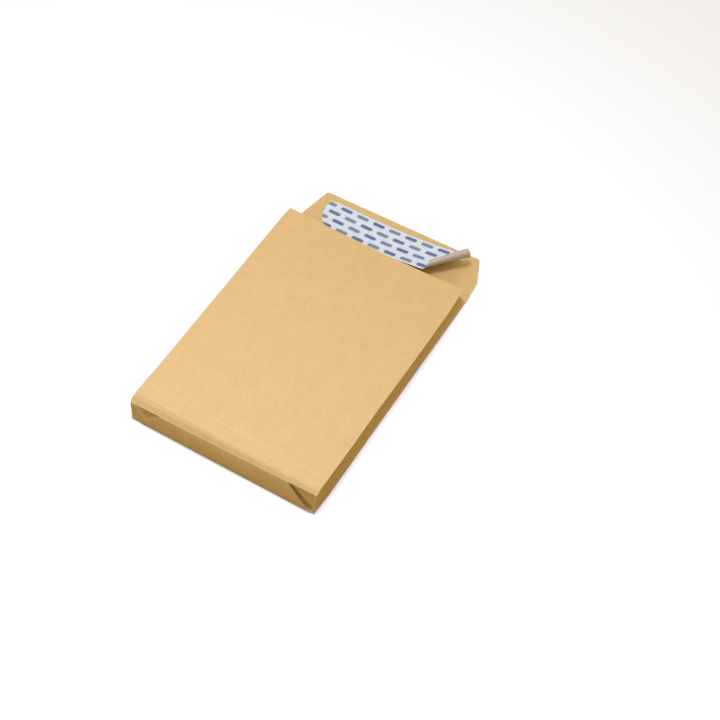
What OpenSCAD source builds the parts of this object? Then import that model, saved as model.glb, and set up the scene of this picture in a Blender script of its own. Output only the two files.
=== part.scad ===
// Gusseted kraft pocket envelope, lying open on its address side with its peel strip half off.
// X runs across the envelope, Y from the block bottom to the seal flap, Z up from the floor.
// The origin is the middle of the address panel's outer face.

/* [Panels] */
// Width across the face of the envelope
body_w = 229; // [160:1:330]
// Length of the pocket, from the bottom fold to the mouth
body_l = 324; // [220:1:460]
// Thickness of the kraft sheet
sheet_t = 0.25; // [0.15:0.05:0.5]
// Outer radius of a pressed fold
fold_r = 1.2; // [0.8:0.1:2.5]

/* [Gusset and block bottom] */
// Width of the paper strip that makes each side, and the depth of the block bottom
gusset_d = 30; // [22:1:42]
// How much lower the back panel lies at the mouth than at the block bottom
mouth_drop = 7.5; // [2:0.5:10]
// Distance from the bottom fold to the crest, where the back panel tips over the end
crest_y = 15; // [12:0.5:20]
// Distance from the bottom fold to the second crease across the back panel
crease_y = 30; // [24:0.5:40]
// Drop of the back panel from the crest to the top of the end face
crest_drop = 6; // [2:0.25:9]
// How far the top of the end face leans in over the bottom fold
end_lean = 6; // [0:0.5:8]
// How far the outer bottom flap's slanted ends run in from the sides
flap_slant = 33; // [20:1:60]
// Bare strip left between the outer bottom flap and the top of the end face
flap_short = 2; // [1:0.5:8]

/* [Seal flap] */
// Length of the seal flap beyond the mouth
seal_l = 61; // [54:1:90]
// Length of the seal flap's left side before it tapers
seal_straight_left = 2; // [1:1:35]
// Length of the seal flap's right side before it tapers
seal_straight_right = 31; // [1:1:35]
// How far each side of the seal flap tapers in at its top edge
seal_taper = 14; // [4:0.5:20]
// Radius of the seal flap's four bends in plan
seal_r = 3; // [1:0.5:5]

/* [Adhesive and peel strip] */
// Distance from the seal flap's top edge to the peel strip
strip_edge = 10; // [3:0.5:15]
// Distance from the envelope's left side to the peel strip
strip_side = 26.5; // [18:0.5:32]
// Length of the peel strip when flat
strip_l = 186; // [120:1:192]
// Width of the peel strip
strip_w = 40.5; // [30:0.5:46]
// Radius of the two corners at the peel strip's stuck end
strip_corner_r = 12; // [2:0.5:14]
// Thickness of the peel strip
strip_t = 0.12; // [0.1:0.02:0.3]
// Thickness of the adhesive band
glue_t = 0.1; // [0.05:0.05:0.3]
// Margin of peel strip around the adhesive band
glue_margin = 4; // [1:0.5:10]

/* [Peeled end] */
// Length of near edge that is still stuck down
stuck_l = 36.5; // [25:0.5:70]
// Radius of the gentle arc in which the strip lifts off
lift_r = 565; // [400:5:900]
// How far the line where it lifts off turns from square across the strip, in degrees
peel_turn = 16; // [0:1:30]
// Distance from the strip's far end to the roll along its near edge
roll_near = 46; // [36:0.5:60]
// Distance from the strip's far end to the roll along its far edge
roll_far = 9; // [6:0.5:20]
// Radius of the rolled-up corner where the roll starts
roll_r = 6; // [5:0.1:7.5]
// How fast the roll winds in, as a share of its radius for each radian
roll_wind = 0.09; // [0.06:0.01:0.12]

/* [Hidden] */

// Facets of a pressed fold, of a bend in plan, and of one radian of the roll
fold_steps = 6;
plan_steps = 8;
roll_steps = 4;
// Columns of the peel strip's rounded end and of its lifted stretch, and rows across it
corner_columns = 6;
lift_columns = 10;
strip_rows = 8;
// Slices of a side tuck
tuck_slices = 16;
// How far cutting shapes run past what they cut
past = 1;

kraft = [0.89, 0.76, 0.54];
glue_tone = [0.85, 0.74, 0.52];
liner_white = [0.93, 0.95, 0.97];

bottom_y = -body_l / 2;
mouth_y = body_l / 2;
seal_y = mouth_y + seal_l;
mouth_h = gusset_d - mouth_drop;
end_h = gusset_d - crest_drop;
end_slope = atan2(end_lean, end_h);
end_face = norm([end_lean, end_h]);
strip_x = strip_side - body_w / 2;
strip_y = seal_y - strip_edge - strip_w;
strip_z = sheet_t + glue_t;
roll_foot = [strip_l - roll_near, 0];
roll_line = [roll_near - roll_far, strip_w];
roll_dir = roll_line / norm(roll_line);
roll_out = [roll_dir.y, -roll_dir.x];
peel_out = [cos(peel_turn), -sin(peel_turn)];

// Left-hand normal of the step from a to b
function left_normal(a, b) = [a.y - b.y, b.x - a.x] / norm(b - a);

// Corner b of a counter-clockwise outline, moved d towards the inside of both its sides
function moved_corner(a, b, c, d) =
    let (n1 = left_normal(a, b), n2 = left_normal(b, c)) b + d * (n1 + n2) / (1 + n1 * n2);

// Counter-clockwise outline moved inwards by d, or outwards where d is negative
function moved_in(points, d) =
    let (count = len(points))
    [for (i = [0:count - 1])
        let (before = points[(i + count - 1) % count], after = points[(i + 1) % count])
        moved_corner(before, points[i], after, d)];

// Arc that rounds the convex corner b to radius r
function corner_arc(a, b, c, r, steps) =
    let (n1 = left_normal(a, b), n2 = left_normal(b, c))
    let (from = atan2(n1.y, n1.x), turn = acos(min(1, n1 * n2)), middle = moved_corner(a, b, c, r))
    [for (k = [0:steps]) middle - r * [cos(from + turn * k / steps), sin(from + turn * k / steps)]];

// Convex counter-clockwise outline with each corner rounded to its own radius
function rounded(points, radii, steps) =
    let (count = len(points))
    [for (i = [0:count - 1])
        let (before = points[(i + count - 1) % count], after = points[(i + 1) % count])
        each radii[i] > 0 ? corner_arc(before, points[i], after, radii[i], steps) : [points[i]]];

// Side view of the pocket from the bottom fold, shrunk by one or more sheets and drawn out past the mouth
function pocket_outline(inset, reach) =
    let (slope = (gusset_d - mouth_h) / (body_l - crease_y))
    let (corners = [
        [0, 0],
        [body_l + reach, 0],
        [body_l + reach, mouth_h - slope * reach],
        [crease_y, gusset_d],
        [crest_y, gusset_d],
        [end_lean, end_h]
    ])
    rounded(moved_in(corners, inset), [fold_r - inset, 0, 0, fold_r, fold_r, fold_r - inset], fold_steps);

// Height of the back panel at a distance y from the bottom fold, past the second crease
function panel_height(y) = gusset_d - mouth_drop * (y - crease_y) / (body_l - crease_y);

// How far the side fold is pushed in where the two panels lie h apart
function tuck_depth(h) = sqrt(max(0, pow(gusset_d / 2, 2) - pow(h / 2, 2)));

// Three corners of the tuck's cut at a distance y from the bottom fold, grown by one or more sheets
function tuck_ring(y, grow) =
    let (h = panel_height(y), half = h / 2 - sheet_t, depth = tuck_depth(h) + past)
    let (tip_angle = atan2(half, depth), x_out = body_w / 2 + past)
    [
        [x_out - depth - grow / sin(tip_angle), y, h / 2],
        [x_out, y, h / 2 + half + grow / cos(tip_angle)],
        [x_out, y, h / 2 - half - grow / cos(tip_angle)]
    ];

// Solid through a row of three-cornered rings
module three_cornered_loft(rings) {
    last = len(rings) - 1;
    sides = [for (i = [0:last - 1], k = [0:2])
        let (a = 3 * i + k, b = 3 * i + (k + 1) % 3)
        each [[a, b + 3, b], [a, a + 3, b + 3]]];
    ends = [[0, 1, 2], [3 * last + 2, 3 * last + 1, 3 * last]];
    polyhedron([for (ring = rings) each ring], concat(sides, ends));
}

// Wedge that presses the right side gusset inwards; slices crowd together where the tuck starts
module side_tuck(grow, reach) {
    span = body_l + reach - crease_y;
    rings = [for (i = [0:tuck_slices]) tuck_ring(crease_y + span * pow(i / tuck_slices, 2), grow)];
    translate([0, bottom_y, 0]) three_cornered_loft(rings);
}

// Outer form of the pocket, or its hollow when shrunk by a sheet and drawn out past the mouth
module pocket_form(inset, reach) {
    difference() {
        translate([inset - body_w / 2, bottom_y, 0])
            rotate([90, 0, 90])
                linear_extrude(height = body_w - 2 * inset)
                    polygon(pocket_outline(inset, reach));
        side_tuck(inset, reach + past);
        mirror([1, 0, 0]) side_tuck(inset, reach + past);
    }
}

// Flap on the end face, from a long edge at one fold, between two slanted ends
module end_flap(long_edge, short_edge, layers) {
    outline = [
        [-body_w / 2, long_edge],
        [body_w / 2, long_edge],
        [body_w / 2 - flap_slant, short_edge],
        [flap_slant - body_w / 2, short_edge]
    ];
    translate([0, bottom_y, 0])
        rotate([90 - end_slope, 0, 0])
            linear_extrude(height = layers * sheet_t)
                polygon(outline);
}

// Seal flap in plan, tapering to its top edge
module seal_flap() {
    corners = [
        [-body_w / 2, mouth_y - past],
        [body_w / 2, mouth_y - past],
        [body_w / 2, mouth_y + seal_straight_right],
        [body_w / 2 - seal_taper, seal_y],
        [seal_taper - body_w / 2, seal_y],
        [-body_w / 2, mouth_y + seal_straight_left]
    ];
    linear_extrude(height = sheet_t)
        polygon(rounded(corners, [0, 0, seal_r, seal_r, seal_r, seal_r], plan_steps));
}

// One kraft sheet: pocket with pressed-in gussets, block bottom and seal flap
module envelope_body() {
    color(kraft) {
        difference() {
            pocket_form(0, 0);
            pocket_form(sheet_t, past);
        }
        end_flap(end_face - fold_r, fold_r, 1);
        end_flap(fold_r, end_face - flap_short, 2);
        seal_flap();
    }
}

// Adhesive band on the seal flap, inside the peel strip's edges
module adhesive_band() {
    color(glue_tone)
        translate([strip_x + glue_margin, strip_y + glue_margin, sheet_t])
            cube([strip_l - 2 * glue_margin, strip_w - 2 * glue_margin, glue_t]);
}

// Turn in radians that the roll has made after d of paper
function roll_turn(d) = -ln(1 - roll_wind * d / roll_r) / roll_wind;

// Place of flat point p of the peel strip, lift above its underside, once its corner is rolled up
function rolled(p, lift) =
    let (d = (p - roll_foot) * roll_out)
    d <= 0 ? [p.x, p.y, lift] :
    let (turn = roll_turn(d), a = turn * 180 / PI, shrink = exp(-roll_wind * turn))
    let (scale = roll_r / (1 + pow(roll_wind, 2)))
    let (along = scale * (shrink * (sin(a) - roll_wind * cos(a)) + roll_wind) - lift * sin(a))
    let (up = scale * (1 - shrink * (cos(a) + roll_wind * sin(a))) + lift * cos(a))
    let (foot = p - d * roll_out + along * roll_out)
    [foot.x, foot.y, up];

// Place of a point of the rolled strip once its free end has lifted off in an arc
function lifted(q) =
    let (run = ([q.x, q.y] - [stuck_l, 0]) * peel_out)
    run <= 0 ? q :
    let (a = run / lift_r * 180 / PI, shift = ((lift_r - q.z) * sin(a) - run) * peel_out)
    [q.x + shift.x, q.y + shift.y, lift_r - (lift_r - q.z) * cos(a)];

// Flat ends of one column of the strip: x at the near edge, and x at the far edge if it got there
function column_ends(near_x, far_x) =
    far_x <= strip_l
        ? [[near_x, 0], [far_x, strip_w]]
        : [[near_x, 0], [strip_l, strip_w * (strip_l - near_x) / (far_x - near_x)]];

// Columns of the strip: its rounded end, then along the lift-off line, then along the roll
function strip_columns() =
    let (slant = roll_line.x, peel_slant = strip_w * tan(peel_turn), lift_l = roll_foot.x - stuck_l)
    let (roll_paper = (strip_l - roll_foot.x) * roll_out.x - strip_t, turns = roll_turn(roll_paper))
    let (count = ceil(turns * roll_steps))
    concat(
        [for (i = [0:corner_columns])
            let (a = 90 * i / corner_columns, x = strip_corner_r * (1 - cos(a)))
            let (cut = strip_corner_r * (1 - sin(a)))
            [[x, cut], [x, strip_w - cut]]],
        [for (i = [0:lift_columns])
            let (share = i / lift_columns, near_x = stuck_l + lift_l * share)
            column_ends(near_x, near_x + peel_slant * (1 - share) + slant * share)],
        [for (k = [1:count])
            let (d = roll_r / roll_wind * (1 - exp(-roll_wind * turns * k / count)))
            let (near_x = roll_foot.x + d / roll_out.x)
            column_ends(near_x, near_x + slant)]
    );

// Sheet between an upper and a lower grid of points, each a list of columns
module bent_sheet(upper, lower) {
    columns = len(upper);
    rows = len(upper[0]);
    count = columns * rows;
    faces_up = [for (i = [0:columns - 2], j = [0:rows - 2])
        let (a = i * rows + j, b = a + rows)
        each [[a, a + 1, b + 1], [a, b + 1, b]]];
    faces_down = [for (f = faces_up) [f[2] + count, f[1] + count, f[0] + count]];
    rim = concat(
        [for (i = [0:columns - 2]) i * rows],
        [for (j = [0:rows - 2]) (columns - 1) * rows + j],
        [for (i = [columns - 1:-1:1]) i * rows + rows - 1],
        [for (j = [rows - 1:-1:1]) j]
    );
    faces_rim = [for (k = [0:len(rim) - 1])
        let (a = rim[k], b = rim[(k + 1) % len(rim)])
        each [[a, b, b + count], [a, b + count, a + count]]];
    polyhedron(
        [for (grid = [upper, lower], column = grid) each column],
        concat(faces_up, faces_down, faces_rim)
    );
}

// Printed peel strip: stuck at its rounded end, lifting in an arc, its near corner rolled up
module release_liner() {
    columns = strip_columns();
    grids = [for (lift = [strip_t, 0])
        [for (ends = columns)
            let (step = (ends[1] - ends[0]) / strip_rows)
            [for (j = [0:strip_rows]) lifted(rolled(ends[0] + step * j, lift))]]];
    color(liner_white)
        translate([strip_x, strip_y, strip_z])
            bent_sheet(grids[0], grids[1]);
}

envelope_body();
adhesive_band();
release_liner();
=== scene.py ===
# Gusseted kraft envelope, lying open on its address side with its peel strip half off.
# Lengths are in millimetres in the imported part's frame, and MM turns them into metres.

import math

import bmesh
import bpy
import numpy as np
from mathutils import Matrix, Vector, noise


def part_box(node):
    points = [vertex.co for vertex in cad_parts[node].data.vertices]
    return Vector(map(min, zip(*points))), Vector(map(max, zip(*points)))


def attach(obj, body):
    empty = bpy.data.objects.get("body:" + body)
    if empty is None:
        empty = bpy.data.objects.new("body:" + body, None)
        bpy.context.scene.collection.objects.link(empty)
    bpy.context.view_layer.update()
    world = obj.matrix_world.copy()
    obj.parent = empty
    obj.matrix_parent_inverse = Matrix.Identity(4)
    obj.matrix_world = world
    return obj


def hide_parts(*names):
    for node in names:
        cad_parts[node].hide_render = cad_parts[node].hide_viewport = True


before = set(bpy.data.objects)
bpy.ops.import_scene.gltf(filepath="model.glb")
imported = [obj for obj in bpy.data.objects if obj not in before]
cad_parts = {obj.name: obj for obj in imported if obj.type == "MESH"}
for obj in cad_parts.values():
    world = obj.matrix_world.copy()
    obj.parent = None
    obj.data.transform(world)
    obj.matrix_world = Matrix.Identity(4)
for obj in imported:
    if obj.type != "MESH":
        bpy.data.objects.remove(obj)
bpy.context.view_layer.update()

MM = 0.001

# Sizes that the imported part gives
BODY_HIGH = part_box("envelope_body")[1] / MM
HALF_W = BODY_HIGH.x
GUSSET_D = BODY_HIGH.z
FLAP_TOP_Y = BODY_HIGH.y

# Pocket and seal flap, as in the part's source
SEAL_L = 61
BODY_L = 324
MOUTH_DROP = 7.5
CREST_Y = 15
CREASE_Y = 30
CREST_DROP = 6
END_LEAN = 6
SHEET_T = 0.25
FOLD_R = 1.2
SEAL_STRAIGHT_LEFT = 2
SEAL_STRAIGHT_RIGHT = 31
SEAL_TAPER = 14
SEAL_R = 3
FLAP_SHORT = 2
BOTTOM_Y = FLAP_TOP_Y - SEAL_L - BODY_L
END_H = GUSSET_D - CREST_DROP

# Peel strip, placed and lifted as in the part's source. Its stuck end is cut askew, and it is
# rolled up tighter, with a little more paper
STRIP_EDGE = 10
STRIP_SIDE = 26.5
STRIP_W = 40.5
STRIP_T = 0.12
GLUE_T = 0.1
CORNER_NEAR_R = 17
CORNER_FAR_R = 12
CORNER_ROLLED_R = 18
EDGE_IN = 2.2
END_NEAR_IN = 3.1
END_FAR_OUT = 5.7
SKEW_L = 55
STUCK_L = 36.5
LIFT_R = 565
PEEL_TURN = 16
MORE_PAPER = 8
STRIP_L = 186 + MORE_PAPER
ROLL_NEAR = 46 + MORE_PAPER
ROLL_FAR = 9 + MORE_PAPER
ROLL_R = 4.2
ROLL_FLARE = 0.35
ROLL_WIND = 0.06
ROLL_DROOP = 3
DROOP_L = 12
STRIP_CELL = 0.7

# Back panel from the block bottom to the mouth: distance from the bottom fold, and height there
PANEL_LINE = (
    (END_LEAN, END_H),
    (END_LEAN + 4.5, END_H + 4),
    (CREST_Y + 2, GUSSET_D),
    (CREASE_Y, GUSSET_D),
    (BODY_L, GUSSET_D - MOUTH_DROP),
)
PANEL_BLUR = (-1.6, -0.8, 0, 0.8, 1.6)
TUCK_START = CREASE_Y - 8
TUCK_END = CREASE_Y + 14

# How the end has been pressed: its top edge tips and leans, its creases bow and turn
END_TWIST = 1.5
LEAN_TWIST = 1.4
BOTTOM_YAW = 0.5
END_BULGE = 1.2
CREST_BOW = 3.4
CREASE_YAW = 2.6
CREASE_RISE = 0.22
CREASE_W = 1.6

# How the mouth has been handled: it sags, and its right side flares below and pinches above
MOUTH_L = 90
MOUTH_SAG = 3.0
MOUTH_FLARE = 2.4
MOUTH_PINCH = 1.6
PINCH_L = 40
FLAP_SKEW = 1.9
FLAP_CURL = 1.0

# How far the sides stand out: distance from the bottom fold, and how much there
RIGHT_SPREAD = ((0, 0.5), (CREASE_Y, 2.0), (BODY_L - MOUTH_L, 2.0), (BODY_L, MOUTH_FLARE))
LEFT_SPREAD = ((0, 3.0), (5, 4.2), (20, 3.0), (60, 2.3), (BODY_L - 9, 2.3), (BODY_L, 1.2))
TOP_SPREAD = 0.9
TOP_SPREAD_Y = 70
SIDE_BELLY = 0.8
BELLY_Y = 205
BELLY_L = 125

# How far the seal flap's edges are in from the sides: distance from the mouth, and how much there
FLAP_LEFT = ((SEAL_STRAIGHT_LEFT, 1.6), (SEAL_L, SEAL_TAPER))
FLAP_RIGHT = ((0, -MOUTH_FLARE), (SEAL_STRAIGHT_RIGHT, 0.3), (SEAL_L, SEAL_TAPER))

# Bottom flaps: how far in from the sides their slanted ends are, at the floor and at the top
OUTER_LEFT = (10, 33)
OUTER_RIGHT = (1.5, 33)
INNER_ENDS = (62, 38)
OUTER_STANDOFF = 0.8
INNER_STANDOFF = 0.3
FLAP_COLUMNS = 190
INNER_LEVELS = np.linspace(0.06, 0.97, 22)
OUTER_LEVELS = np.concatenate([[0.02, 0.035], np.linspace(0.05, 1 - FLAP_SHORT / GUSSET_D, 24)])

# Hollows beside the outer flap: a pocket at the left, and at the right an ear with a gap under the flap
POCKET = ((6, 25), (17, 8), (36, 25))
POCKET_DEPTH = 6.0
POCKET_SLOPE = 2.5
EAR_DEPTH = 3.0
GAP_DEPTH = 8.0
GAP_UNDER = 15.0
GAP_OUT = 2.0

# Mesh steps: fine at the sides, the block bottom and the mouth, and wide on the flat panels
FINE_X = 68
FINE_Y = 45
MOUTH_EDGE_Y = BODY_L - 8
STEP_X = 1.2
STEP_Y = 1.4
STEP_UP = 1.15
WIDE_STEP_X = 6
WIDE_STEP_Y = 5
CREASE_STEPS = (-1.6, -0.8, -0.35, 0, 0.35, 0.8, 1.6)
SHARP_ANGLE = 42

# Unevenness of the panels and the sides
PANEL_WAVE = 0.35
PANEL_WAVE_SIZE = 70
PANEL_WAVE_SEED = 3
SIDE_WAVE = 0.3
SIDE_WAVE_SIZE = 18
SIDE_WAVE_SEED = 8
FAN_DEPTH = 0.4

# How pale the paper is painted away from its folds, where this is 1: partly scuffing, partly a painted
# highlight along crest, crease, mouth and edges
CREST_WEAR_AND_HIGHLIGHT = 0.75
CREASE_WEAR_AND_HIGHLIGHT = 0.6
MOUTH_WEAR_AND_HIGHLIGHT = 0.6
TUCK_WEAR = 0.4
EDGE_WEAR_AND_HIGHLIGHT = 0.5

# Camera, from the outline of the envelope in the photograph
CAMERA_PLACE = (661.5, -1049.9, 1745.9)
CAMERA_TURN = (35.395, -1.070, 30.752)
CAMERA_LENS = 97.30
CAMERA_SENSOR = 36


def smooth(value, start, end):
    """0 before start, 1 after end, and an even S between them."""
    share = np.clip((value - start) / (end - start), 0, 1)
    return share * share * (3 - 2 * share)


def bump(value, middle, width):
    """Rounded hump of height 1 at middle, gone at width to either side."""
    return smooth(1 - np.abs(value - middle) / width, 0, 1)


def bent_line(value, points):
    """Height of a bent line at value; points are its corners, each a place and a height."""
    places, heights = zip(*points)
    return np.interp(value, places, heights)


def between(ends, share):
    """Value at a share of the way from the first end to the second."""
    return ends[0] + (ends[1] - ends[0]) * share


def near_line(u, v, start, end, width):
    """1 on the straight line between two points of a face, gone at width from it."""
    run = np.subtract(end, start)
    share = np.clip(((u - start[0]) * run[0] + (v - start[1]) * run[1]) / (run @ run), 0, 1)
    away = np.hypot(u - start[0] - share * run[0], v - start[1] - share * run[1])
    return smooth(1 - away / width, 0, 1)


def depth_inside(u, v, corners):
    """Distance from the nearest side of a counter-clockwise outline, negative outside it."""
    depths = []
    for (a, b), (c, d) in zip(corners, corners[1:] + corners[:1]):
        depths.append(((c - a) * (v - b) - (d - b) * (u - a)) / math.hypot(c - a, d - b))
    return np.min(depths, axis=0)


# Paper mesh


def spaced(start, stop, step):
    """Even stations from start to stop, no further apart than step."""
    return np.linspace(start, stop, math.ceil((stop - start) / step) + 1)


def fold_stations(count=3):
    """Distances from a fold's inner line that split half of its bend evenly."""
    return FOLD_R * np.tan(np.radians(45) * np.arange(1, count + 1) / count)


def crease_stations(middle):
    return middle + np.array(CREASE_STEPS)


def merged(*lists):
    """One sorted list of stations, without near doubles."""
    stations = np.sort(np.concatenate(lists))
    keep = np.concatenate([[True], np.diff(stations) > 0.05])
    return stations[keep]


def stations_across():
    inner = HALF_W - FOLD_R
    fine = spaced(FINE_X, inner, STEP_X)
    wide = spaced(-FINE_X, FINE_X, WIDE_STEP_X)[1:-1]
    ends = inner + fold_stations()
    return np.concatenate([-ends[::-1], -fine[::-1], wide, fine, ends])


def stations_along():
    end = FOLD_R - fold_stations()
    creases = [crease_stations(CREST_Y), crease_stations(CREASE_Y)]
    fine = merged(spaced(FOLD_R, FINE_Y, STEP_Y), *creases)
    wide = spaced(FINE_Y, MOUTH_EDGE_Y, WIDE_STEP_Y)[1:]
    mouth = spaced(MOUTH_EDGE_Y, BODY_L, 1)[1:]
    return np.concatenate([end[::-1], fine, wide, mouth])


def stations_up():
    ends = fold_stations()
    inner = spaced(FOLD_R, GUSSET_D - FOLD_R, STEP_UP)
    return np.concatenate([FOLD_R - ends[::-1], inner, GUSSET_D - FOLD_R + ends])


def panel_height(y):
    """Height of the back panel at a distance y from the bottom fold, with its bends rounded."""
    near = [bent_line(y + shift, PANEL_LINE) for shift in PANEL_BLUR]
    return np.mean(near, axis=0)


def tuck_depth(height):
    """How far a gusset's middle fold comes in when the panels are this far apart."""
    return np.sqrt(np.maximum(0, (GUSSET_D / 2) ** 2 - (height / 2) ** 2))


def softened(points):
    """Points on a sharp-edged box, moved on to the same box with its folds rounded."""
    inner = points.copy()
    inner[:, 0] = np.clip(points[:, 0], FOLD_R - HALF_W, HALF_W - FOLD_R)
    inner[:, 1] = np.maximum(points[:, 1], FOLD_R)
    inner[:, 2] = np.clip(points[:, 2], FOLD_R, GUSSET_D - FOLD_R)
    out = points - inner
    reach = np.linalg.norm(out, axis=1, keepdims=True)
    return inner + out * FOLD_R / reach


def end_shift(x, level):
    """How far the end face is moved along the envelope, from upright: its lean, twist and bulge."""
    side = x / HALF_W
    lean = END_LEAN + LEAN_TWIST * side
    bulge = END_BULGE * (1 - side**2) * np.sin(np.pi * np.clip(level, 0, 1))
    return lean * level - BOTTOM_YAW * side - bulge


def hollow(x, level):
    """How far the end face is pushed in: a pocket at the left, and an ear with a gap at the right."""
    inside = depth_inside(x + HALF_W, level * END_H, POCKET)
    pocket = POCKET_DEPTH * smooth(inside, 0, POCKET_SLOPE)
    diagonal = HALF_W - between(OUTER_RIGHT, level)
    ear = EAR_DEPTH * (1 - 0.7 * level) * smooth(x - diagonal, -3, 0) * smooth(HALF_W - x, 0, 5)

    # The gap starts well under the flap, and opens a little beyond its edge towards the floor
    rim = diagonal + GAP_OUT * (1 - level)
    under = GAP_UNDER * (0.2 + 0.8 * smooth(1 - level, 0, 0.5))
    gap = GAP_DEPTH * smooth((x - diagonal) / under, -1, -0.5) * smooth(rim - x, -1.2, 0.8)
    gap = gap * smooth(HALF_W - x, 0.5, 3) * smooth(1 - level, 0.03, 0.25)
    return pocket + np.maximum(ear, gap) * smooth(level, 0, 0.06)


def waves(points, size, seed):
    """Gentle unevenness, from -1 to 1, over hollows of about this size."""
    offset = Vector((seed, 0.7 * seed, 0))
    return np.array([noise.noise(Vector(p) / size + offset) for p in points])


def shaped(points):
    """Turns the plain rounded box into the pocket: crest, lean, pressed-in gussets and twists."""
    x, y, z = softened(points).T
    side = x / HALF_W
    level = z / GUSSET_D
    at_end = np.clip(1 - y / CREST_Y, 0, 1)
    at_mouth = smooth(y, BODY_L - MOUTH_L, BODY_L)

    # Along the envelope
    bow = CREST_BOW * (side**2 - 0.4) * bump(y, CREST_Y, CREST_Y)
    yaw = CREASE_YAW * side * smooth(y, CREST_Y, CREASE_Y) * smooth(3 * CREASE_Y - y, 0, 2 * CREASE_Y)
    pushed = hollow(x, level) * smooth(-y, -0.5, 0)
    y_new = y + at_end * end_shift(x, level) + level * (bow - yaw) + pushed

    # Across it
    middle = np.clip(1 - np.abs(2 * level - 1), 0, 1)
    tuck = tuck_depth(panel_height(y)) * smooth(y, TUCK_START, TUCK_END)
    half = GUSSET_D / 2
    fan = near_line(y, np.abs(z - half), (0, half), (half, 0), 2) * smooth(y, 1, 3)
    upright = smooth(HALF_W - np.abs(x), 3, 1) * middle
    uneven = SIDE_WAVE * waves(np.stack([x, y, z], axis=1), SIDE_WAVE_SIZE, SIDE_WAVE_SEED)
    x_new = x - np.sign(x) * tuck * np.where(np.abs(x) > HALF_W - FOLD_R, middle, 0)
    x_new = x_new + upright * (uneven - np.sign(x) * FAN_DEPTH * fan)
    belly = SIDE_BELLY * bump(y, BELLY_Y, BELLY_L) + TOP_SPREAD * bump(y, TOP_SPREAD_Y, TOP_SPREAD_Y)
    top_out = belly - MOUTH_PINCH * smooth(y, BODY_L - PINCH_L, BODY_L)
    low_out = bent_line(y, RIGHT_SPREAD)
    x_new = x_new + smooth(side, 0, 1) * (level * top_out + (1 - level) * low_out)
    left_out = bent_line(y, LEFT_SPREAD)
    x_new = x_new - left_out * smooth(-side, 0.8, 1) * smooth(level, 0, 0.9)

    # Upwards
    height = panel_height(y + at_end * END_LEAN) + END_TWIST * side * at_end
    creases = bump(y, CREST_Y, CREASE_W) + 0.8 * bump(y, CREASE_Y, CREASE_W)
    crease = CREASE_RISE * creases * smooth(level, 0.5, 1)
    inside = smooth(HALF_W - np.abs(x), 2, 30) * smooth(y, CREASE_Y, 2 * CREASE_Y) * smooth(level, 0.9, 1)
    flat = np.stack([x, y, 0 * z], axis=1)
    wave = PANEL_WAVE * inside * waves(flat, PANEL_WAVE_SIZE, PANEL_WAVE_SEED)
    sag = MOUTH_SAG * (1 - side**2) * at_mouth * smooth(level, 0.8, 1)
    z_new = level * height + crease + wave - sag
    return np.stack([x_new, y_new, z_new], axis=1)


def grid_faces(rows, columns, start, flipped):
    """Four-sided faces of a grid whose points run column by column within each row."""
    faces = []
    for i in range(rows - 1):
        for j in range(columns - 1):
            a = start + i * columns + j
            face = (a, a + 1, a + columns + 1, a + columns)
            faces.append(face[::-1] if flipped else face)
    return faces


class PaperMesh:
    """Collects grids of points, their faces and how pale each point is painted, from scuffing and painted
    highlight.
    """

    def __init__(self):
        self.points, self.faces, self.wear, self.count = [], [], [], 0

    def add(self, points, rows, columns, flipped, wear):
        self.faces += grid_faces(rows, columns, self.count, flipped)
        self.points.append(points)
        self.wear.append(wear)
        self.count += len(points)

    def to_object(self, name):
        mesh = bpy.data.meshes.new(name)
        points = np.concatenate(self.points) * MM + np.array([0, BOTTOM_Y * MM, 0])
        mesh.from_pydata(points.tolist(), [], self.faces)
        # Paleness on folds and edges, partly scuffing and partly painted highlight, goes to the material
        attribute = mesh.attributes.new("fold_wear", "FLOAT", "POINT")
        attribute.data.foreach_set("value", np.concatenate(self.wear).astype(np.float32))
        work = bmesh.new()
        work.from_mesh(mesh)
        bmesh.ops.remove_doubles(work, verts=work.verts, dist=0.02 * MM)
        work.to_mesh(mesh)
        work.free()
        made = bpy.data.objects.new(name, mesh)
        bpy.context.scene.collection.objects.link(made)
        return made


def box_grid(first, second, place):
    """Points of a flat grid on the box; place(a, b) gives a point's x, y and z."""
    a, b = np.meshgrid(first, second, indexing="ij")
    a, b = a.ravel(), b.ravel()
    return np.stack(np.broadcast_arrays(*place(a, b)), axis=1).astype(float)


def wear_of(points):
    """How pale each point of the box is painted, from scuffing and painted highlight: most on its folds and
    creases.
    """
    x, y, z = points.T
    from_side = HALF_W - np.abs(x)
    from_floor = np.minimum(z, GUSSET_D - z)
    across = [from_side, np.maximum(y, 0), from_floor]
    ordered = np.sort(np.stack(across), axis=0)
    fold = 1 - smooth(ordered[1], 0.2, 1.5)
    top = smooth(z, GUSSET_D - 1, GUSSET_D)
    crest = CREST_WEAR_AND_HIGHLIGHT * top * bump(y, CREST_Y, 1.5)
    crease = CREASE_WEAR_AND_HIGHLIGHT * top * bump(y, CREASE_Y, 1.3)
    mouth = MOUTH_WEAR_AND_HIGHLIGHT * smooth(y, BODY_L - 1.2, BODY_L) * smooth(z, 1, 2)
    tuck = TUCK_WEAR * bump(z, GUSSET_D / 2, 1.6) * (from_side < 0.1)
    return np.max([fold, crest, crease, mouth, tuck], axis=0)


def add_pocket(paper):
    across, along, up = stations_across(), stations_along(), stations_up()
    panels = [
        (across, along, lambda a, b: (a, b, 0), True),
        (across, along, lambda a, b: (a, b, GUSSET_D), False),
        (along, up, lambda a, b: (HALF_W, a, b), False),
        (along, up, lambda a, b: (-HALF_W, a, b), True),
        (across, up, lambda a, b: (a, 0, b), False),
    ]
    for first, second, place, flipped in panels:
        points = box_grid(first, second, place)
        paper.add(shaped(points), len(first), len(second), not flipped, wear_of(points))


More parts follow.
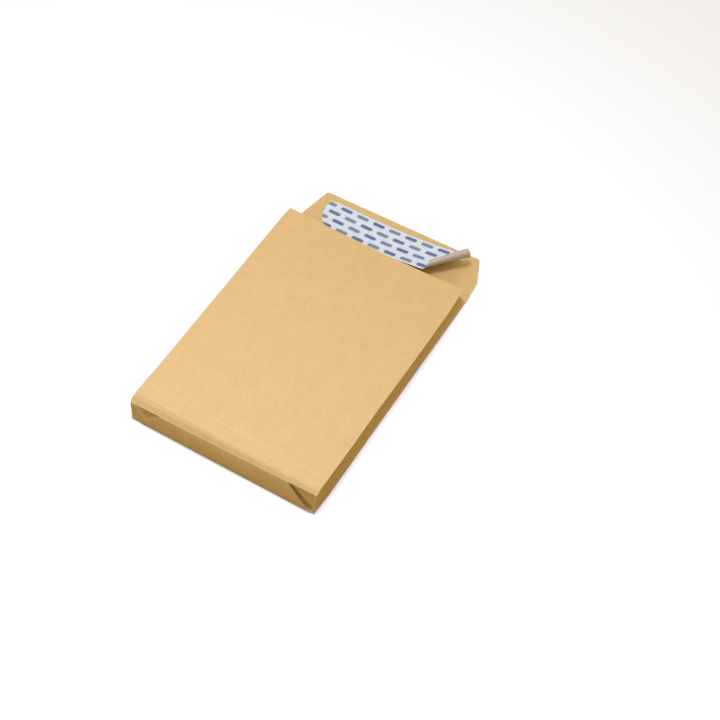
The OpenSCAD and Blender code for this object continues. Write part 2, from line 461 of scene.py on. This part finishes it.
def flap_edges(y):
    """Left and right edges of the seal flap at a distance y beyond the mouth."""
    near_top = np.clip(y - SEAL_L + SEAL_R, 0, SEAL_R)
    corner = SEAL_R - np.sqrt(SEAL_R**2 - near_top**2)
    left = bent_line(y, FLAP_LEFT)
    right = bent_line(y, FLAP_RIGHT)
    return left + corner - HALF_W, HALF_W - right - corner


def add_seal_flap(paper):
    across = stations_across()
    corner = SEAL_L - SEAL_R + SEAL_R * np.sin(np.radians(np.arange(15, 91, 15)))
    rows = np.concatenate([[0, 0.6, 1.4], spaced(2.5, SEAL_L - SEAL_R, 2.5), corner])
    base = shaped(box_grid([BODY_L], across, lambda a, b: (b, a, 0)))
    share = (base[:, 0] - base[0, 0]) / np.ptp(base[:, 0])
    grid, wear = [], []
    for y in rows:
        left, right = flap_edges(y)
        row = base.copy()
        row[:, 0] += (left + (right - left) * share - base[:, 0]) * smooth(y, 0, 3)
        row[:, 1] += y * (1 + FLAP_SKEW / SEAL_L * (2 * share - 1))
        curl = FLAP_CURL * smooth(row[:, 0] - right, -9, 0) * smooth(y, 4, 20)
        row[:, 2] = base[:, 2] * np.exp(-y / 1.5) + curl
        grid.append(row)
        edge = np.minimum(row[:, 0] - left, right - row[:, 0])
        # Paler along the flap's edges: partly scuffing, partly a painted highlight
        wear.append(EDGE_WEAR_AND_HIGHLIGHT * (1 - smooth(np.minimum(edge, SEAL_L - y), 0.2, 1.2)))
    paper.add(np.concatenate(grid), len(rows), len(across), True, np.concatenate(wear))


def end_point(x, level, standoff):
    """Place of a point that stands off from the end face, at a share of its height."""
    y = end_shift(x, level) - standoff
    z = level * (END_H + END_TWIST * x / HALF_W)
    return np.stack([x, y, z], axis=1)


def add_end_flap(paper, levels, left, right, standoff):
    """Flap on the end face, between slanted ends; standoff(x, level) is its distance from the face."""
    shares = np.linspace(0, 1, FLAP_COLUMNS)
    grid, wear = [], []
    for level in levels:
        x_left = between(left, level) - HALF_W
        x_right = HALF_W - between(right, level)
        x = x_left + (x_right - x_left) * shares
        grid.append(end_point(x, np.full_like(x, level), standoff(x, level)))
        # Only the outer flap's left edge is painted pale: a painted highlight where that edge catches the
        # light
        wear.append(EDGE_WEAR_AND_HIGHLIGHT * (1 - smooth(x - x_left, 0.1, 1.2)))
    paper.add(np.concatenate(grid), len(levels), len(shares), False, np.concatenate(wear))


def inner_standoff(x, level):
    """The inner flap lies close to the end face, and meets it at the top."""
    return INNER_STANDOFF * smooth(1 - level, 0.04, 0.2) - 0.02


def outer_standoff(x, level):
    """The outer flap stands off further towards its ends, and meets the end face at the floor."""
    lift = OUTER_STANDOFF * smooth(level, 0.03, 0.2)
    near_right = smooth(x, HALF_W - 55, HALF_W - 8)
    near_left = smooth(-x, HALF_W - 50, HALF_W - 8)
    return 0.05 + lift * (1 + 0.9 * near_right + 0.5 * near_left)


def add_block_bottom(paper):
    add_end_flap(paper, INNER_LEVELS, INNER_ENDS, INNER_ENDS, inner_standoff)
    add_end_flap(paper, OUTER_LEVELS, OUTER_LEFT, OUTER_RIGHT, outer_standoff)


def with_thickness(made, thickness):
    """Gives a single sheet its thickness, on the inner side, and shades its cut edges sharp."""
    solid = made.modifiers.new("thickness", "SOLIDIFY")
    solid.thickness = thickness * MM
    solid.offset = -1
    solid.use_even_offset = False
    settle(made)


def settle(made):
    """Replaces an object's mesh with its finished one, and clears its modifiers."""
    graph = bpy.context.evaluated_depsgraph_get()
    mesh = bpy.data.meshes.new_from_object(made.evaluated_get(graph))
    made.modifiers.clear()
    made.data = mesh
    mesh.shade_smooth()
    mesh.set_sharp_from_angle(angle=math.radians(SHARP_ANGLE))


def make_envelope():
    paper = PaperMesh()
    add_pocket(paper)
    add_seal_flap(paper)
    add_block_bottom(paper)
    envelope = paper.to_object("kraft_envelope")
    with_thickness(envelope, SHEET_T)
    envelope.data.materials.append(kraft_material())
    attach(envelope, "root")
    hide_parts("envelope_body")


# Node trees


class Field:
    """A value in a node tree that can be added, multiplied and compared like a number."""

    def __init__(self, tree, socket):
        self.tree, self.socket = tree, socket

    def math(self, operation, *others):
        node = self.tree.nodes.new("ShaderNodeMath")
        node.operation = operation
        for place, value in enumerate((self, *others)):
            feed(self.tree, node.inputs[place], value)
        return Field(self.tree, node.outputs[0])

    def __add__(self, other):
        return self.math("ADD", other)

    def __sub__(self, other):
        return self.math("SUBTRACT", other)

    def __rsub__(self, other):
        return (self * -1) + other

    def __mul__(self, other):
        return self.math("MULTIPLY", other)

    def __truediv__(self, other):
        return self.math("DIVIDE", other)

    __radd__ = __add__


def feed(tree, socket, value):
    """Links a field or a socket into a node's input, or sets the input to a plain value."""
    if isinstance(value, Field):
        value = value.socket
    if isinstance(value, bpy.types.NodeSocket):
        tree.links.new(value, socket)
    else:
        socket.default_value = value


def place_node(tree, kind, settings=None, **inputs):
    """New node with its settings, and its inputs fed by name, spaces written as underscores."""
    node = tree.nodes.new(kind)
    for name, value in (settings or {}).items():
        setattr(node, name, value)
    for name, value in inputs.items():
        feed(tree, node.inputs[name.replace("_", " ")], value)
    return node


def split(tree, vector):
    """Three fields from a vector."""
    node = place_node(tree, "ShaderNodeSeparateXYZ", Vector=vector)
    return [Field(tree, socket) for socket in node.outputs]


def joined(tree, x, y, z):
    return place_node(tree, "ShaderNodeCombineXYZ", X=x, Y=y, Z=z).outputs[0]


# Peel strip

STRIP_INPUTS = {
    "Length": STRIP_L * MM,
    "Width": STRIP_W * MM,
    "Thickness": STRIP_T * MM,
    "Near corner radius": CORNER_NEAR_R * MM,
    "Far corner radius": CORNER_FAR_R * MM,
    "Rolled corner radius": CORNER_ROLLED_R * MM,
    "Near edge in": EDGE_IN * MM,
    "Near corner in": END_NEAR_IN * MM,
    "Far corner out": END_FAR_OUT * MM,
    "Skewed length": SKEW_L * MM,
    "Stuck length": STUCK_L * MM,
    "Lift radius": LIFT_R * MM,
    "Lift turn": math.radians(PEEL_TURN),
    "Roll on near edge": ROLL_NEAR * MM,
    "Roll on far edge": ROLL_FAR * MM,
    "Roll radius": ROLL_R * MM,
    "Roll flare": ROLL_FLARE,
    "Roll winding": ROLL_WIND,
    "Roll droop": ROLL_DROOP * MM,
    "Droop length": DROOP_L * MM,
    "Cell": STRIP_CELL * MM,
}


def strip_tree():
    """Flat strip of release paper that is rolled up at one corner and lifted in an arc."""
    tree = bpy.data.node_groups.new("peel_strip", "GeometryNodeTree")
    for name in STRIP_INPUTS:
        tree.interface.new_socket(name, in_out="INPUT", socket_type="NodeSocketFloat")
    tree.interface.new_socket("Place", in_out="INPUT", socket_type="NodeSocketVector")
    tree.interface.new_socket("Material", in_out="INPUT", socket_type="NodeSocketMaterial")
    tree.interface.new_socket("Geometry", in_out="OUTPUT", socket_type="NodeSocketGeometry")
    given = tree.nodes.new("NodeGroupInput")
    value = {name: Field(tree, given.outputs[name]) for name in STRIP_INPUTS}
    length, width, thickness = value["Length"], value["Width"], value["Thickness"]

    # Flat slab with its length along X and its width along Y
    grid = place_node(
        tree, "GeometryNodeMeshGrid",
        Size_X=length, Size_Y=width,
        Vertices_X=length / value["Cell"], Vertices_Y=width / value["Cell"],
    )
    corner = joined(tree, length / 2, width / 2, 0.0)
    flat = place_node(tree, "GeometryNodeTransform", Geometry=grid.outputs["Mesh"], Translation=corner)
    raised = place_node(
        tree, "GeometryNodeExtrudeMesh",
        Mesh=flat.outputs[0], Offset=joined(tree, 0.0, 0.0, thickness), Offset_Scale=1.0, Individual=False,
    )
    under = place_node(tree, "GeometryNodeFlipFaces", Mesh=flat.outputs[0])
    slab = tree.nodes.new("GeometryNodeJoinGeometry")
    tree.links.new(raised.outputs["Mesh"], slab.inputs[0])
    tree.links.new(under.outputs[0], slab.inputs[0])
    slab = place_node(
        tree, "GeometryNodeMergeByDistance", Geometry=slab.outputs[0], Distance=thickness / 4
    )

    # Its corners are rounded, and its stuck end is cut askew
    place = tree.nodes.new("GeometryNodeInputPosition").outputs[0]
    x, y, lift = split(tree, place)
    share = y / width

    def corner_cut(radius, from_end):
        """How far a corner of this radius brings its edge in, at a distance from its end."""
        from_arc = (radius - from_end).math("MAXIMUM", 0.0)
        return radius - (radius * radius - from_arc * from_arc).math("MAXIMUM", 0.0).math("SQRT")

    askew = (1.0 - x / value["Skewed length"]).math("MAXIMUM", 0.0)
    near_cut = corner_cut(value["Near corner radius"], x) + value["Near edge in"] * askew
    rolled_cut = corner_cut(value["Rolled corner radius"], length - x)
    far_cut = corner_cut(value["Far corner radius"], x) + rolled_cut
    narrowed = y + near_cut * (1.0 - share) - far_cut * share
    whole_skew = value["Near corner in"] + value["Far corner out"]
    skewed = x + (value["Near corner in"] - whole_skew * narrowed / width) * askew
    slab = place_node(
        tree, "GeometryNodeSetPosition", Geometry=slab.outputs[0],
        Position=joined(tree, skewed, narrowed, lift),
    )

    # What the print needs to know, kept from the flat strip
    kept = place_node(
        tree, "GeometryNodeStoreNamedAttribute", {"data_type": "FLOAT2", "domain": "CORNER"},
        Geometry=slab.outputs[0], Name="flat_strip", Value=place,
    )
    upper = (lift / thickness).math("GREATER_THAN", 0.75)
    kept = place_node(
        tree, "GeometryNodeStoreNamedAttribute", {"data_type": "FLOAT", "domain": "FACE"},
        Geometry=kept.outputs[0], Name="printed_side", Value=upper,
    )

    # The corner winds up on a spiral, over a line that runs across the strip at a slant
    slant = value["Roll on near edge"] - value["Roll on far edge"]
    line = (slant * slant + width * width).math("SQRT")
    out_x, out_y = width / line, slant * -1.0 / line
    beyond = (x - (length - value["Roll on near edge"])) * out_x + y * out_y
    past = beyond.math("MAXIMUM", 0.0)
    wind, radius = value["Roll winding"], value["Roll radius"] * (1.0 + value["Roll flare"] * share)
    shrink = 1.0 - wind * past / radius
    turn = shrink.math("LOGARITHM", math.e) / wind * -1.0
    sine, cosine = turn.math("SINE"), turn.math("COSINE")
    scale = radius / (1.0 + wind * wind)
    along = scale * (shrink * (sine - wind * cosine) + wind) - lift * sine
    rolled_z = scale * (1.0 - shrink * (cosine + wind * sine)) + lift * cosine
    rolled_x = x + (along - past) * out_x
    rolled_y = y + (along - past) * out_y

    # The roll hangs a little at its far end, which bends the last stretch before it too
    near_roll = (beyond / value["Droop length"] + 1.0).math("MAXIMUM", 0.0).math("MINIMUM", 1.0)
    rolled_z = rolled_z - value["Roll droop"] * near_roll * share * share * share

    # The free end lifts off in a gentle arc, from a line that is turned a little
    arc = value["Lift radius"]
    lift_x, lift_y = value["Lift turn"].math("COSINE"), value["Lift turn"].math("SINE") * -1.0
    run = ((rolled_x - value["Stuck length"]) * lift_x + rolled_y * lift_y).math("MAXIMUM", 0.0)
    angle = run / arc
    shift = (arc - rolled_z) * angle.math("SINE") - run
    shift = shift * run.math("GREATER_THAN", 0.0)
    lifted_z = arc - (arc - rolled_z) * angle.math("COSINE")
    lifted = joined(tree, rolled_x + shift * lift_x, rolled_y + shift * lift_y, lifted_z)
    bent = place_node(tree, "GeometryNodeSetPosition", Geometry=kept.outputs[0], Position=lifted)
    put = place_node(
        tree, "GeometryNodeTransform", Geometry=bent.outputs[0], Translation=given.outputs["Place"]
    )
    real = place_node(tree, "GeometryNodeRealizeInstances", Geometry=put.outputs[0])
    dressed = place_node(
        tree, "GeometryNodeSetMaterial", Geometry=real.outputs[0], Material=given.outputs["Material"]
    )
    result = tree.nodes.new("NodeGroupOutput")
    tree.links.new(dressed.outputs[0], result.inputs["Geometry"])
    return tree


def make_peel_strip():
    strip = bpy.data.objects.new("peel_strip", bpy.data.meshes.new("peel_strip"))
    bpy.context.scene.collection.objects.link(strip)
    grow = strip.modifiers.new("strip", "NODES")
    grow.node_group = strip_tree()
    place = (STRIP_SIDE - HALF_W, FLAP_TOP_Y - STRIP_EDGE - STRIP_W, SHEET_T + GLUE_T)
    chosen = {**STRIP_INPUTS, "Place": Vector(place) * MM, "Material": release_material()}
    for item in grow.node_group.interface.items_tree:
        if item.in_out == "INPUT":
            grow[item.identifier] = chosen[item.name]
    settle(strip)
    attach(strip, "root")
    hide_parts("release_liner")


# Materials

KRAFT = (0.80, 0.56, 0.27, 1)
KRAFT_DEEP = (0.66, 0.41, 0.17, 1)
KRAFT_PALE = (0.88, 0.68, 0.40, 1)
GLUE_PALE = (0.76, 0.53, 0.24, 1)
GLUE_DEEP = (0.66, 0.44, 0.17, 1)
RELEASE_PALE = (0.76, 0.86, 1.0, 1)
RELEASE_DEEP = (0.72, 0.82, 1.0, 1)
RELEASE_BACK = (0.54, 0.47, 0.43, 1)
INK_VIOLET = (0.11, 0.13, 0.38, 1)
INK_SLATE = (0.17, 0.24, 0.38, 1)

# Print on the release paper
PRINT_PITCH = 21.5
PRINT_ROW = 10.1
CAPSULE_RUN = 5.2
CAPSULE_R = 3.0
CAPSULE_SOLID = 0.6

# Fibres: each layer's turn in degrees, its size along X, Y and Z, and its detail. Flecks are where
# the last two layers pass FLECK_FROM, and the tooth is the finest grain
FIBRE_LAYERS = {
    "cloud": (0, 11, 15, 11, 3.0),
    "fibre": (4, 0.5, 4.5, 0.5, 3.0),
    "cross": (63, 0.4, 3.5, 0.4, 2.0),
    "dark": (-28, 0.32, 2.6, 0.32, 1.0),
    "light": (38, 0.3, 3.0, 0.3, 1.0),
}
FLECK_FROM = 0.70
DARK_FLECK = -9.0
LIGHT_FLECK = 7.0
TOOTH_SCALE = 2600.0
FIBRE_HEIGHT = 0.08


def noise_field(tree, place, scale, detail, roughness=0.5):
    """Noise over a surface, mostly between 0.3 and 0.7."""
    node = place_node(
        tree, "ShaderNodeTexNoise", Vector=place, Scale=scale, Detail=detail, Roughness=roughness
    )
    return Field(tree, node.outputs["Fac"])


def stored(tree, name):
    """A value that the mesh carries as an attribute."""
    node = place_node(tree, "ShaderNodeAttribute", {"attribute_name": name})
    return Field(tree, node.outputs["Fac"])


def fibre_group():
    """Paper surface: cloudy formation, long fibres, stray flecks and the bump that they make."""
    tree = bpy.data.node_groups.new("paper_fibres", "ShaderNodeTree")
    for name in ("Fibre size", "Bump strength"):
        tree.interface.new_socket(name, in_out="INPUT", socket_type="NodeSocketFloat")
    for name in ("Cloud", "Fibre", "Fleck"):
        tree.interface.new_socket(name, in_out="OUTPUT", socket_type="NodeSocketFloat")
    tree.interface.new_socket("Normal", in_out="OUTPUT", socket_type="NodeSocketVector")
    given = tree.nodes.new("NodeGroupInput")
    result = tree.nodes.new("NodeGroupOutput")
    place = place_node(tree, "ShaderNodeTexCoord").outputs["Object"]
    scale = Field(tree, given.outputs["Fibre size"]).math("POWER", -1.0)

    def stretched(turn, x, y, z, detail):
        """Noise drawn out along one direction of the sheet."""
        mapping = place_node(
            tree, "ShaderNodeMapping", Vector=place,
            Rotation=(0, 0, math.radians(turn)), Scale=(1 / (x * MM), 1 / (y * MM), 1 / (z * MM)),
        )
        return noise_field(tree, mapping.outputs[0], scale, detail, 0.6)

    cloud, fibre, cross, dark, light = [stretched(*layer) for layer in FIBRE_LAYERS.values()]
    tooth = noise_field(tree, place, TOOTH_SCALE, 2.0)
    dark_fleck = (dark - FLECK_FROM).math("MAXIMUM", 0.0) * DARK_FLECK
    light_fleck = (light - FLECK_FROM).math("MAXIMUM", 0.0) * LIGHT_FLECK
    web = fibre * 0.65 + cross * 0.35
    height = web + tooth * 0.5
    bumped = place_node(
        tree, "ShaderNodeBump",
        Height=height, Strength=given.outputs["Bump strength"], Distance=FIBRE_HEIGHT * MM,
    )
    put_out = {"Cloud": cloud, "Fibre": web, "Fleck": dark_fleck + light_fleck, "Normal": bumped.outputs[0]}
    for name, value in put_out.items():
        feed(tree, result.inputs[name], value)
    return tree


def new_material(name, **settings):
    """Material with its Principled BSDF set by name, spaces written as underscores."""
    material = bpy.data.materials.new(name)
    material.use_nodes = True
    tree = material.node_tree
    shader = tree.nodes["Principled BSDF"]
    for key, value in settings.items():
        shader.inputs[key.replace("_", " ")].default_value = value
    return material, tree, shader


def mixed(tree, share, first, second, blend="MIX"):
    """Colour between two colours; share, first and second may be sockets or plain values."""
    settings = {"data_type": "RGBA", "blend_type": blend, "clamp_factor": True}
    node = place_node(tree, "ShaderNodeMix", settings)
    feed(tree, node.inputs[0], share)
    feed(tree, node.inputs[6], first)
    feed(tree, node.inputs[7], second)
    return node.outputs[2]


def paper_fibres(tree, fibre_size, bump_strength):
    group = place_node(tree, "ShaderNodeGroup", {"node_tree": FIBRES})
    group.inputs["Fibre size"].default_value = fibre_size
    group.inputs["Bump strength"].default_value = bump_strength
    return group


def kraft_material():
    """Manilla kraft: warm tan with clouds and fibres, painted paler along folds, creases and edges, partly
    for scuffing and partly as a painted highlight.
    """
    material, tree, shader = new_material("manilla_kraft", Sheen_Weight=0.08, Sheen_Roughness=0.5)
    fibres = paper_fibres(tree, 1.0, 0.5)
    cloud = Field(tree, fibres.outputs["Cloud"])
    web = Field(tree, fibres.outputs["Fibre"])
    fleck = Field(tree, fibres.outputs["Fleck"])
    wear = stored(tree, "fold_wear")
    body = mixed(tree, (cloud - 0.5) * 0.6 + 0.3, KRAFT, KRAFT_DEEP)
    tone = ((web - 0.5) * 0.5 + fleck * 0.5 + 1.0).math("MAXIMUM", 0.0)
    streaked = mixed(tree, 1.0, body, joined(tree, tone, tone, tone), "MULTIPLY")
    # Paleness on folds and edges: partly scuffing, partly a painted highlight
    scuff_and_highlight = wear * (web * 0.8 + 0.45)
    colour = mixed(tree, scuff_and_highlight * 0.7, streaked, KRAFT_PALE)
    feed(tree, shader.inputs["Base Color"], colour)
    feed(tree, shader.inputs["Roughness"], 0.52 + web * 0.2)
    feed(tree, shader.inputs["Normal"], fibres.outputs["Normal"])
    return material


def release_material():
    """White silicone paper: rows of printed blue-grey capsules above, plain below."""
    material, tree, shader = new_material("release_paper", Coat_Weight=0.15, Coat_Roughness=0.25)
    fibres = paper_fibres(tree, 0.7, 0.25)
    cloud = Field(tree, fibres.outputs["Cloud"])
    web = Field(tree, fibres.outputs["Fibre"])
    flat = place_node(tree, "ShaderNodeUVMap", {"uv_map": "flat_strip"}).outputs[0]
    x, y, _ = split(tree, flat)
    printed = stored(tree, "printed_side")

    # Capsules in rows along the strip, every other row moved by half a pitch
    pitch, row_step = PRINT_PITCH * MM, PRINT_ROW * MM
    row = (y / row_step).math("FLOOR")
    odd = row.math("MODULO", 2.0)
    column = x / pitch + odd * 0.5
    u = (column.math("FRACT") - 0.5) * pitch
    v = ((y / row_step).math("FRACT") - 0.5) * row_step
    beyond = (u.math("ABSOLUTE") - CAPSULE_RUN * MM).math("MAXIMUM", 0.0)
    distance = (beyond * beyond + v * v).math("SQRT")
    edge, solid = CAPSULE_R * MM, CAPSULE_R * CAPSULE_SOLID * MM
    mark = place_node(tree, "ShaderNodeMapRange", Value=distance, From_Min=edge, From_Max=solid)
    other = (column.math("FLOOR") + row).math("MODULO", 2.0).math("ABSOLUTE")
    ink = mixed(tree, other, INK_VIOLET, INK_SLATE)
    ground = mixed(tree, cloud, RELEASE_PALE, RELEASE_DEEP)
    face = mixed(tree, Field(tree, mark.outputs[0]) * (0.75 + web * 0.4), ground, ink)
    colour = mixed(tree, printed, RELEASE_BACK, face)
    feed(tree, shader.inputs["Base Color"], colour)
    feed(tree, shader.inputs["Roughness"], 0.38 + web * 0.12)
    feed(tree, shader.inputs["Normal"], fibres.outputs["Normal"])
    return material


def adhesive_material():
    """Clear hot melt over kraft: the paper shows through, under a faint rippled gloss."""
    material, tree, shader = new_material("hot_melt", Coat_Weight=0.12, Coat_Roughness=0.35)
    fibres = paper_fibres(tree, 1.0, 0.3)
    web = Field(tree, fibres.outputs["Fibre"])
    cloud = Field(tree, fibres.outputs["Cloud"])
    colour = mixed(tree, cloud * 0.6 + web * 0.3, GLUE_PALE, GLUE_DEEP)
    feed(tree, shader.inputs["Base Color"], colour)
    feed(tree, shader.inputs["Roughness"], 0.42 + cloud * 0.2)
    feed(tree, shader.inputs["Normal"], fibres.outputs["Normal"])
    return material


def dress_adhesive():
    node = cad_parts["adhesive_band"]
    node.data.materials.clear()
    node.data.materials.append(adhesive_material())


# Floor, light and camera

FLOOR_PALE = (0.97, 0.98, 1.0, 1)
FLOOR_LIFT = (0.22, 0.25, 0.36, 1)
FLOOR_BOUNCE = (0.38, 0.27, 0.07, 1)
WALL_LOW = (0.33, 0.22, 0.02, 1)
WALL_HIGH = (0.78, 0.74, 0.60, 1)

# Places and sizes in metres, and light power in watts
FLOOR_HALF = 3.0
FLOOR_DROP = 0.0001
NEAR_END = Vector((-0.10, -0.40, 0))
LIGHT_SPREAD = 100
SOFTBOXES = {
    "overhead": {"place": (-0.1, 0.15, 1.4), "size": 0.4, "power": 3.0, "colour": (1.0, 1.03, 1.2)},
    "cool_fill": {"place": (-0.1, -0.5, 0.7), "size": 0.3, "power": 0.16, "colour": (0.2, 0.55, 1.0)},
}


def make_floor():
    """Pale floor just under the envelope, that sends warm light back up."""
    mesh = bpy.data.meshes.new("floor")
    half, low = FLOOR_HALF, -FLOOR_DROP
    corners = [(-half, -half, low), (half, -half, low), (half, half, low), (-half, half, low)]
    mesh.from_pydata(corners, [], [(0, 1, 2, 3)])
    floor = bpy.data.objects.new("floor", mesh)
    bpy.context.scene.collection.objects.link(floor)
    material, tree, shader = new_material("pale_floor", Roughness=0.9, Specular_IOR_Level=0.0)
    seen = place_node(tree, "ShaderNodeLightPath").outputs["Is Camera Ray"]
    feed(tree, shader.inputs["Base Color"], mixed(tree, seen, FLOOR_BOUNCE, FLOOR_PALE))
    shader.inputs["Emission Color"].default_value = FLOOR_LIFT
    feed(tree, shader.inputs["Emission Strength"], seen)
    mesh.materials.append(material)


def add_softbox(name, place, size, power, colour):
    """Square area light that is aimed at the floor in front of the envelope's block bottom."""
    light = bpy.data.lights.new(name, "AREA")
    light.shape = "SQUARE"
    light.size = size
    light.energy = power
    light.color = colour
    light.spread = math.radians(LIGHT_SPREAD)
    lamp = bpy.data.objects.new(name, light)
    lamp.location = place
    lamp.rotation_euler = (NEAR_END - Vector(place)).to_track_quat("-Z", "Y").to_euler()
    bpy.context.scene.collection.objects.link(lamp)


def light_studio():
    """Pale studio, brighter above than below, with its softboxes."""
    world = bpy.data.worlds.new("studio")
    world.use_nodes = True
    tree = world.node_tree
    _, _, up = split(tree, place_node(tree, "ShaderNodeTexCoord").outputs["Generated"])
    walls = mixed(tree, up, WALL_LOW, WALL_HIGH)
    seen = place_node(tree, "ShaderNodeLightPath").outputs["Is Camera Ray"]
    feed(tree, tree.nodes["Background"].inputs["Color"], mixed(tree, seen, walls, FLOOR_PALE))
    bpy.context.scene.world = world
    for name, box in SOFTBOXES.items():
        add_softbox(name, **box)
    bpy.context.scene.view_settings.view_transform = "Standard"


def place_camera():
    lens = bpy.data.cameras.new("camera")
    lens.lens = CAMERA_LENS
    lens.sensor_fit = "HORIZONTAL"
    lens.sensor_width = CAMERA_SENSOR
    camera = bpy.data.objects.new("camera", lens)
    camera.location = Vector(CAMERA_PLACE) * MM
    camera.rotation_euler = [math.radians(angle) for angle in CAMERA_TURN]
    bpy.context.scene.collection.objects.link(camera)
    bpy.context.scene.camera = camera


FIBRES = fibre_group()
place_camera()
light_studio()
make_floor()
make_envelope()
make_peel_strip()
dress_adhesive()
